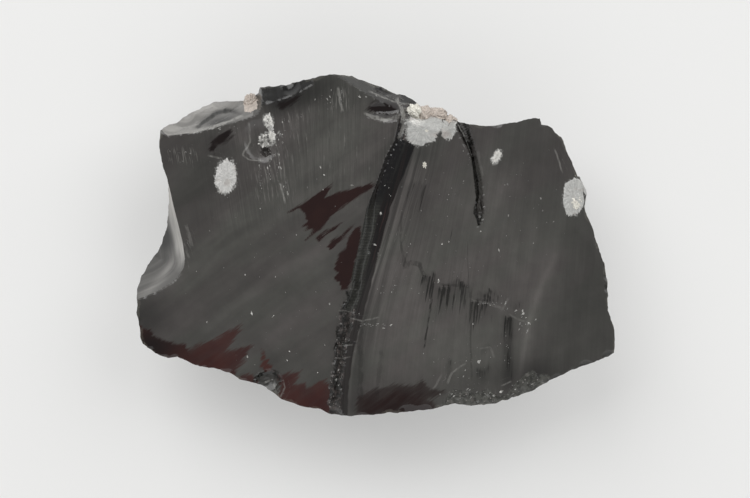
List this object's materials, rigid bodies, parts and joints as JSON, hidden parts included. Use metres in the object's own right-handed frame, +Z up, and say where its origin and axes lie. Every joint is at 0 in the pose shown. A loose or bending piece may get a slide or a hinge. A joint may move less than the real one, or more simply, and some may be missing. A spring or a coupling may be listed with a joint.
{
  "type": "obsidian chunk",
  "caption": "Freshly broken chunk of black obsidian with pale cristobalite snowflakes, lying on its back.",
  "frame": {"origin": "under the middle of the chunk's box, on the surface it rests on", "axes": "+X along the chunk's length, +Y towards its thick upper edge, +Z up from the surface it rests on"},
  "size_m": [0.066, 0.0467, 0.021],
  "materials": {
    "obsidian": "gloss"
  },
  "bodies": {
    "root": {"obsidian_chunk": "obsidian"}
  },
  "joints": []
}
